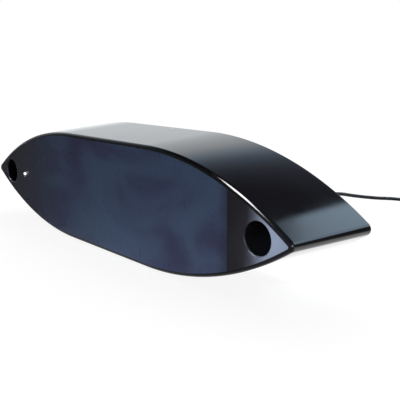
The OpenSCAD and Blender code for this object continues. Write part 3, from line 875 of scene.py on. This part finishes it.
# ends: side, where the change begins and ends along the part, its share, and the colour that it turns to.
# They paint light: painted shade on the window, painted sheen on the end zones
windowLook = {
    "dark": (0.036, 0.045, 0.114), "light": (0.056, 0.094, 0.182), "worn": (0.068, 0.102, 0.188),
    "rough": (0.26, 0.34), "patches": "marble", "scale": 11, "grain": 520, "grainHeight": 2e-6, "wave": 6,
    # painted shade: the window darkens towards its end line on the right, and turns darker and less blue
    # towards the left end
    "ends": ((1, 0.272, 0.2925, 0.6, (0.020, 0.024, 0.058)), (-1, 0.150, 0.270, 0.95, (0.040, 0.045, 0.082))),
}
endLook = {
    "dark": (0.0115, 0.0110, 0.0155), "light": (0.0165, 0.0160, 0.0225), "worn": (0.022, 0.022, 0.030),
    "rough": (0.30, 0.42), "patches": "cloud", "scale": 9, "grain": 520, "grainHeight": 2e-6, "wave": 6,
    # painted sheen: the end zones turn pale blue-grey towards the right tip, where the tipSpot lamp also
    # shines, and lighter and bluer towards the left tip
    "ends": ((1, 0.320, 0.358, 1.0, (0.140, 0.160, 0.212)), (-1, 0.280, 0.300, 1.0, (0.041, 0.044, 0.070))),
}


def urethane(name, look, form=mouldForm):
    material, tree, shader = newMaterial(name, {"IOR": form["ior"]})
    patches = useMask(tree, look["patches"], look["scale"], form["patchEdges"], detail=4)
    fine = useMask(tree, "cloud", look["scale"] * form["fineTimes"], form["fineEdges"], detail=2)
    scuff = useMask(tree, "streak", form["scuffScale"], form["scuffEdges"], detail=5)
    normal = useEffect(tree, "grain", Scale=look["grain"], Height=look["grainHeight"], Wave=look["wave"],
                       Swell=form["swell"])
    colour = mixColour(tree, patches, look["dark"], look["light"])
    # the ends' painted shade and painted sheen, laid over the patches
    for side, begin, stop, share, paintedEndColour in look["ends"]:
        paintedEndLight = useEffect(tree, "endwards", Side=side, From=begin, To=stop, Share=share)
        colour = mixColour(tree, paintedEndLight, colour, paintedEndColour)
    colour = mixColour(tree, timesNode(tree, scuff, form["scuffShare"]), colour, look["worn"])
    finishMaterial(tree, shader, colour, fine, look["rough"], normal)
    return material


housingMaterial = urethane("blackUrethane", housingLook)
windowMaterial = urethane("windowUrethane", windowLook)
endMaterial = urethane("endUrethane", endLook)

# Other materials: colour between two values by soft patches; specks are scale, size and colour
plainForm = {"patchEdges": (0.35, 0.65), "streakEdges": (0.35, 0.70), "wave": 12}
plainLooks = {
    "brushedSteel": {"colours": ((0.42, 0.42, 0.43), (0.58, 0.58, 0.59)), "rough": (0.22, 0.40),
        "metallic": 1.0, "cloud": 60, "grain": (600, 6e-6), "streaks": 160},
    "polishedSteel": {"colours": ((0.74, 0.74, 0.75), (0.86, 0.86, 0.86)), "rough": (0.34, 0.42),
        "metallic": 1.0, "cloud": 300, "grain": (900, 2e-6)},
    "blackRubber": {"colours": ((0.0035, 0.0035, 0.004), (0.007, 0.007, 0.008)), "rough": (0.50, 0.68),
        "cloud": 90, "grain": (1400, 1e-5)},
    "castFill": {"colours": ((0.016, 0.016, 0.018), (0.030, 0.030, 0.033)), "rough": (0.30, 0.46),
        "cloud": 14, "grain": (70, 0.00012), "specks": (90, 0.05, (0.008, 0.008, 0.009))},
    "nylonTie": {"colours": ((0.66, 0.64, 0.58), (0.76, 0.74, 0.69)), "rough": (0.30, 0.45),
        "cloud": 120, "grain": (900, 1e-5)},
    "rigidFoam": {"colours": ((0.60, 0.55, 0.42), (0.72, 0.68, 0.56)), "rough": (0.80, 0.95),
        "cloud": 30, "grain": (700, 0.0002), "specks": (700, 0.4, (0.50, 0.45, 0.33))},
    "loadedEpoxy": {"colours": ((0.26, 0.23, 0.17), (0.36, 0.33, 0.26)), "rough": (0.40, 0.60),
        "cloud": 50, "grain": (400, 2e-5), "specks": (900, 0.25, (0.48, 0.46, 0.40))},
    "ceramic": {"colours": ((0.55, 0.49, 0.36), (0.65, 0.60, 0.47)), "rough": (0.45, 0.62),
        "cloud": 80, "grain": (900, 2e-5)},
    "corkPad": {"colours": ((0.30, 0.17, 0.08), (0.44, 0.28, 0.15)), "rough": (0.75, 0.92),
        "cloud": 60, "grain": (420, 0.0003), "specks": (420, 0.35, (0.20, 0.10, 0.045))},
    "copper": {"colours": ((0.66, 0.33, 0.20), (0.80, 0.46, 0.30)), "rough": (0.22, 0.42),
        "metallic": 1.0, "cloud": 120, "grain": (800, 1e-5), "streaks": 240},
    "circuitBoard": {"colours": ((0.045, 0.085, 0.035), (0.065, 0.12, 0.05)), "rough": (0.30, 0.42),
        "cloud": 90, "grain": (600, 2e-5), "specks": (260, 0.08, (0.52, 0.50, 0.42))},
    "coreIron": {"colours": ((0.09, 0.09, 0.10), (0.16, 0.16, 0.17)), "rough": (0.40, 0.60),
        "metallic": 1.0, "cloud": 60, "grain": (500, 3e-5), "streaks": 400},
}
coreColours = {
    "blueCore": ((0.012, 0.040, 0.20), (0.02, 0.06, 0.28)),
    "redCore": ((0.26, 0.012, 0.010), (0.36, 0.02, 0.016)),
    "whiteCore": ((0.60, 0.60, 0.58), (0.72, 0.72, 0.70)),
    "blackCore": ((0.010, 0.010, 0.011), (0.018, 0.018, 0.019)),
}
for name, colours in coreColours.items():
    plainLooks[name] = {"colours": colours, "rough": (0.35, 0.50), "cloud": 200, "grain": (900, 1e-5)}


def plainMaterial(name, look, form=plainForm):
    material, tree, shader = newMaterial(name, {"Metallic": look.get("metallic", 0.0)})
    spread = useMask(tree, "cloud", look["cloud"], form["patchEdges"], detail=5)
    colour = mixColour(tree, spread, *look["colours"])
    if "specks" in look:
        scale, size, speckColour = look["specks"]
        colour = mixColour(tree, useEffect(tree, "speck", Scale=scale, Size=size), colour, speckColour)
    if "streaks" in look:
        spread = useMask(tree, "streak", look["streaks"], form["streakEdges"], detail=5)
    grain, height = look["grain"]
    normal = useEffect(tree, "grain", Scale=grain, Height=height, Wave=form["wave"], Swell=0.0)
    finishMaterial(tree, shader, colour, spread, look["rough"], normal)
    return material


materials = {name: plainMaterial(name, look) for name, look in plainLooks.items()}


def finishHousing(piece, form):
    dress(piece, housingMaterial)
    piece.data.materials.append(windowMaterial)
    piece.data.materials.append(endMaterial)
    lip = form["wellRadius"] + form["mouthRadius"]
    lay = standing.inverted()
    for face in piece.data.polygons:
        x, y, z = lay @ face.center
        if abs(z) < meshForm["level"]:
            face.material_index = 1 if abs(x) < form["windowEnd"] else 2
        # the wells' mouths take the end zones' material, and with it its painted sheen
        elif math.hypot(abs(x) - form["wellX"], y) < lip and z < form["mouthRadius"]:
            face.material_index = 2  # the rounded mouths of the wells


def finishLead(piece, skin):
    # insulation, with bare copper past its end
    dress(piece, skin)
    piece.data.materials.append(materials["copper"])
    along = onTail.to_3x3() @ Vector((0, 0, 1))
    bare = along.dot(tailEnd) + endForm["bootLength"] + endForm["leadLength"]
    for face in piece.data.polygons:
        face.material_index = 1 if along.dot(face.center) > bare + meshForm["level"] else 0


finishHousing(housing, housingForm)
for piece, look, slotName in (
    (cableLead, "blackRubber", "black_rubber"), (sleeveLeft, "brushedSteel", "stainless_steel"),
    (sleeveRight, "brushedSteel", "stainless_steel"), (button, "polishedSteel", "bright_metal"),
    (relief, "blackRubber", "black_rubber"), (tie, "nylonTie", "tie"),
    (boot, "blackRubber", "black_rubber"), (meniscus, "castFill", "potting"),
):
    dress(piece, materials[look])
for lead, skin in zip(endLeads, ("redCore", "blueCore", "whiteCore", "blackCore")):
    finishLead(lead, materials[skin])

innerLooks = {
    "castFill": ["back_fill"],
    "rigidFoam": ["element_frame"],
    "loadedEpoxy": ["low_matching_plate", "high_matching_disc", "thermistor_bead"],
    "ceramic": ["high_element"] + [name for name in nodes if name.startswith("low_element_")],
    "corkPad": ["low_backing_pad", "high_backing_pad"],
    "copper": ["bus_strip_live", "bus_strip_return", "low_transformer_winding", "high_transformer_winding",
               "cable_cores"],
    "circuitBoard": ["terminal_board"],
    "nylonTie": ["board_spacers"],
    "coreIron": ["low_transformer_core", "high_transformer_core"],
    "redCore": ["high_leads"],
    "blueCore": ["sensor_leads"],
    "brushedSteel": ["cable_ferrule"],
}
for look, names in innerLooks.items():
    for name in names:
        dress(nodes[name], materials[look])
print("materials set")

# Stage: pale floor, soft studio light and a white surround
floorForm = {
    "size": 14.0,
    "colour": (0.95, 0.95, 0.95, 1),
    "shadowShare": 0.20,  # how much of that matt floor, with its shadow, the camera sees
    "white": 1.12,  # the rest, so that the open floor comes out white
    "shine": (0.14, 1.75), "shineY": (-0.10, 0.04),  # as the gloss sees it, front to back
    "flagShare": 0.06, "flagX": (-0.60, -0.34), "flagY": (0.22, 0.42),  # dark flags that give dark edges
    "glow": (0.14, 1.35), "glowX": (-0.42, 0.18),  # as matt faces see it, left to right
    "glowFar": 0.12, "glowY": (-0.50, -0.18),  # share of that left far in front
}


def mixShaders(tree, mask, low, high):
    return newNode(tree, "MixShader", {0: mask, 1: low, 2: high}).outputs["Shader"]


def glow(tree, kind, strength, colour=(1, 1, 1, 1)):
    return newNode(tree, kind, {"Color": colour, "Strength": strength}).outputs[0]


def splitCoords(tree, kind):
    place = newNode(tree, "TexCoord").outputs[kind]
    return newNode(tree, "SeparateXYZ", {"Vector": place}).outputs


def byRay(tree, light, shine, seen):
    # what matt faces, the gloss and the camera see
    rays = newNode(tree, "LightPath").outputs
    unseen = mixShaders(tree, rays["Is Glossy Ray"], light, shine)
    return mixShaders(tree, rays["Is Camera Ray"], unseen, seen)


def makeFloor(form):
    deselectAll()
    bpy.ops.mesh.primitive_plane_add(size=form["size"], location=(0, 0, 0))
    floor = bpy.context.object
    floor.name = "floor"
    material = bpy.data.materials.new("paleFloor")
    material.use_nodes = True
    material.cycles.emission_sampling = "NONE"
    tree = material.node_tree
    tree.nodes.clear()
    x, y = splitCoords(tree, "Object")[:2]
    front, back = form["shine"]
    behind = timesNode(tree, rangeNode(tree, x, form["flagX"], form["flagShare"], 1.0), back)
    behind = timesNode(tree, behind, rangeNode(tree, y, form["flagY"], 1.0, form["flagShare"]))
    shine = glow(tree, "Emission", rangeNode(tree, y, form["shineY"], front, behind))
    away = rangeNode(tree, y, form["glowY"], form["glowFar"], 1.0)
    light = glow(tree, "Emission", timesNode(tree, rangeNode(tree, x, form["glowX"], *form["glow"]), away))
    matt = newNode(tree, "BsdfDiffuse", {"Color": form["colour"]}).outputs["BSDF"]
    seen = mixShaders(tree, form["shadowShare"], glow(tree, "Emission", form["white"]), matt)
    newNode(tree, "OutputMaterial", {"Surface": byRay(tree, light, shine, seen)})
    floor.data.materials.append(material)


worldForm = {
    "skyFront": (0.03, 0.34), "skyX": (-0.5, 0.8),      # light on matt faces from the front, left to right
    "skyBack": 1.05, "skyY": (-0.35, 0.45),  # and from behind
    "shineFront": 0.15, "shineY": (-0.45, 0.05),  # share of the mirrored surroundings in front
    "flagShare": 0.06, "flagLeft": (-0.97, -0.90), "flagRight": (0.02, 0.18),  # dark flags, as for the floor
    "flagY": (-0.12, 0.02),  # only what lies behind is dark
    "shine": (  # what the gloss mirrors, by height
        (0.0, (1.10, 1.15, 1.19)), (0.47, (1.10, 1.15, 1.19)), (0.54, (0.70, 0.82, 0.97)),
        (0.60, (0.32, 0.42, 0.56)), (0.67, (0.16, 0.18, 0.23)), (0.75, (0.06, 0.06, 0.08)),
        (1.0, (0.04, 0.04, 0.05)),
    ),
}
# soft boxes that only the gloss mirrors: edges as shares of the direction along x, y and z
softBoxes = {
    "back": {"colour": (0.76, 1.0, 1.25), "strength": 2.9, "x": (-0.05, -0.01, 0.62, 0.80),
             "y": (0.2, 0.3, 2.0, 3.0), "z": (0.42, 0.50, 0.76, 0.82)},
    "front": {"colour": (1.0, 1.0, 1.0), "strength": 34.0, "x": (-0.36, -0.29, -0.17, -0.06),
              "y": (-0.78, -0.68, -0.28, -0.20), "z": (0.55, 0.62, 2.0, 3.0)},
    "side": {"colour": (1.0, 1.0, 1.0), "strength": 9.0, "x": (0.70, 0.74, 0.90, 0.94),
             "y": (-0.75, -0.70, -0.35, -0.30), "z": (0.05, 0.10, 0.40, 0.45)},
}


def scaledColour(tree, colour, strength):
    return newNode(tree, "VectorMath", {0: colour, "Scale": strength}, operation="SCALE").outputs["Vector"]


def makeSoftBox(tree, axes, form):
    # a lit patch of the surroundings with soft edges
    mask = form["strength"]
    for axis, source in zip("xyz", axes):
        mask = timesNode(tree, rangeNode(tree, source, form[axis][:2]), mask)
        mask = timesNode(tree, rangeNode(tree, source, form[axis][2:], 1.0, 0.0), mask)
    return scaledColour(tree, form["colour"], mask)


def heightRamp(tree, z, stops):
    ramp = newNode(tree, "ValToRGB", {"Fac": z})
    made = ramp.color_ramp.elements
    for number, (at, colour) in enumerate(stops):
        stop = made.new(at) if 0 < number < len(stops) - 1 else made[min(number, len(made) - 1)]
        stop.position = at
        stop.color = (*colour, 1)
    return ramp.outputs["Color"]


def makeWorld(form):
    world = bpy.data.worlds.new("studio")
    scene.world = world
    world.use_nodes = True
    world.cycles.sampling_method = "NONE"
    tree = world.node_tree
    tree.nodes.clear()
    x, y, z = splitCoords(tree, "Generated")
    share = rangeNode(tree, y, form["shineY"], form["shineFront"], 1.0)
    mirrored = scaledColour(tree, heightRamp(tree, z, form["shine"]), share)
    sides = timesNode(tree, rangeNode(tree, x, form["flagLeft"], form["flagShare"], 1.0),
                      rangeNode(tree, x, form["flagRight"], 1.0, form["flagShare"]))
    behind = rangeNode(tree, y, form["flagY"], 1.0, form["flagShare"])
    mirrored = scaledColour(tree, mirrored, mathNode(tree, "MAXIMUM", sides, behind))
    for box in softBoxes.values():
        both = {0: mirrored, 1: makeSoftBox(tree, (x, y, z), box)}
        mirrored = newNode(tree, "VectorMath", both, operation="ADD").outputs["Vector"]
    shine = glow(tree, "Background", 1.0, mirrored)
    front = rangeNode(tree, x, form["skyX"], *form["skyFront"])
    light = glow(tree, "Background", rangeNode(tree, y, form["skyY"], front, form["skyBack"]))
    seen = glow(tree, "Background", 1.0)
    newNode(tree, "OutputWorld", {"Surface": byRay(tree, light, shine, seen)})


# lamps: where they stand, what they aim at, and whether the gloss mirrors them
lampForms = {
    "keyLamp": {
        "kind": "AREA", "place": (-0.9, 0.6, 1.6), "aim": (0, 0, 0.1), "mirrored": False,
        "values": {"energy": 6, "size": 0.9},
    },
    "tipSpot": {
        "kind": "SPOT", "place": (0.58, -0.74, 0.36), "aim": (0.370, -0.072, 0.098), "mirrored": False,
        "values": {"energy": 44, "color": (0.86, 0.93, 1.0), "shadow_soft_size": 0.04,
                   "spot_size": math.radians(8.6), "spot_blend": 0.8},
    },
    "buttonSpot": {
        "kind": "SPOT", "place": (-0.42, -0.77, 0.30), "aim": (-0.280, -0.075, 0.095), "mirrored": True,
        "values": {"energy": 24, "shadow_soft_size": 0.004,
                   "spot_size": math.radians(1.2), "spot_blend": 0.8},
    },
}


def makeLamp(name, form):
    data = bpy.data.lights.new(name, form["kind"])
    for key, value in form["values"].items():
        setattr(data, key, value)
    lamp = bpy.data.objects.new(name, data)
    scene.collection.objects.link(lamp)
    lamp.visible_glossy = form["mirrored"]
    lamp.location = form["place"]
    aim = Vector(form["aim"]) - Vector(form["place"])
    lamp.rotation_euler = aim.to_track_quat("-Z", "Y").to_euler()


makeFloor(floorForm)
makeWorld(worldForm)
for name, form in lampForms.items():
    makeLamp(name, form)
scene.view_settings.view_transform = "Standard"
print("stage lit")

# Bodies: each piece rides on the root body, and the nodes that it replaces are hidden
for piece, replaced in (
    (housing, "housing"), (sleeveLeft, "bolt_sleeve_left"), (sleeveRight, "bolt_sleeve_right"),
    (button, "temperature_button"), (relief, "strain_relief"), (tie, "coil_tie"),
    (boot, "cable_breakout"), (endLeads[0], "cable_leads"),
):
    rideRoot(piece, replaced)
for piece in endLeads[1:] + [meniscus]:
    rideRoot(piece)
rideRoot(cableLead, "cable", "cable_coil", "cable_tail")
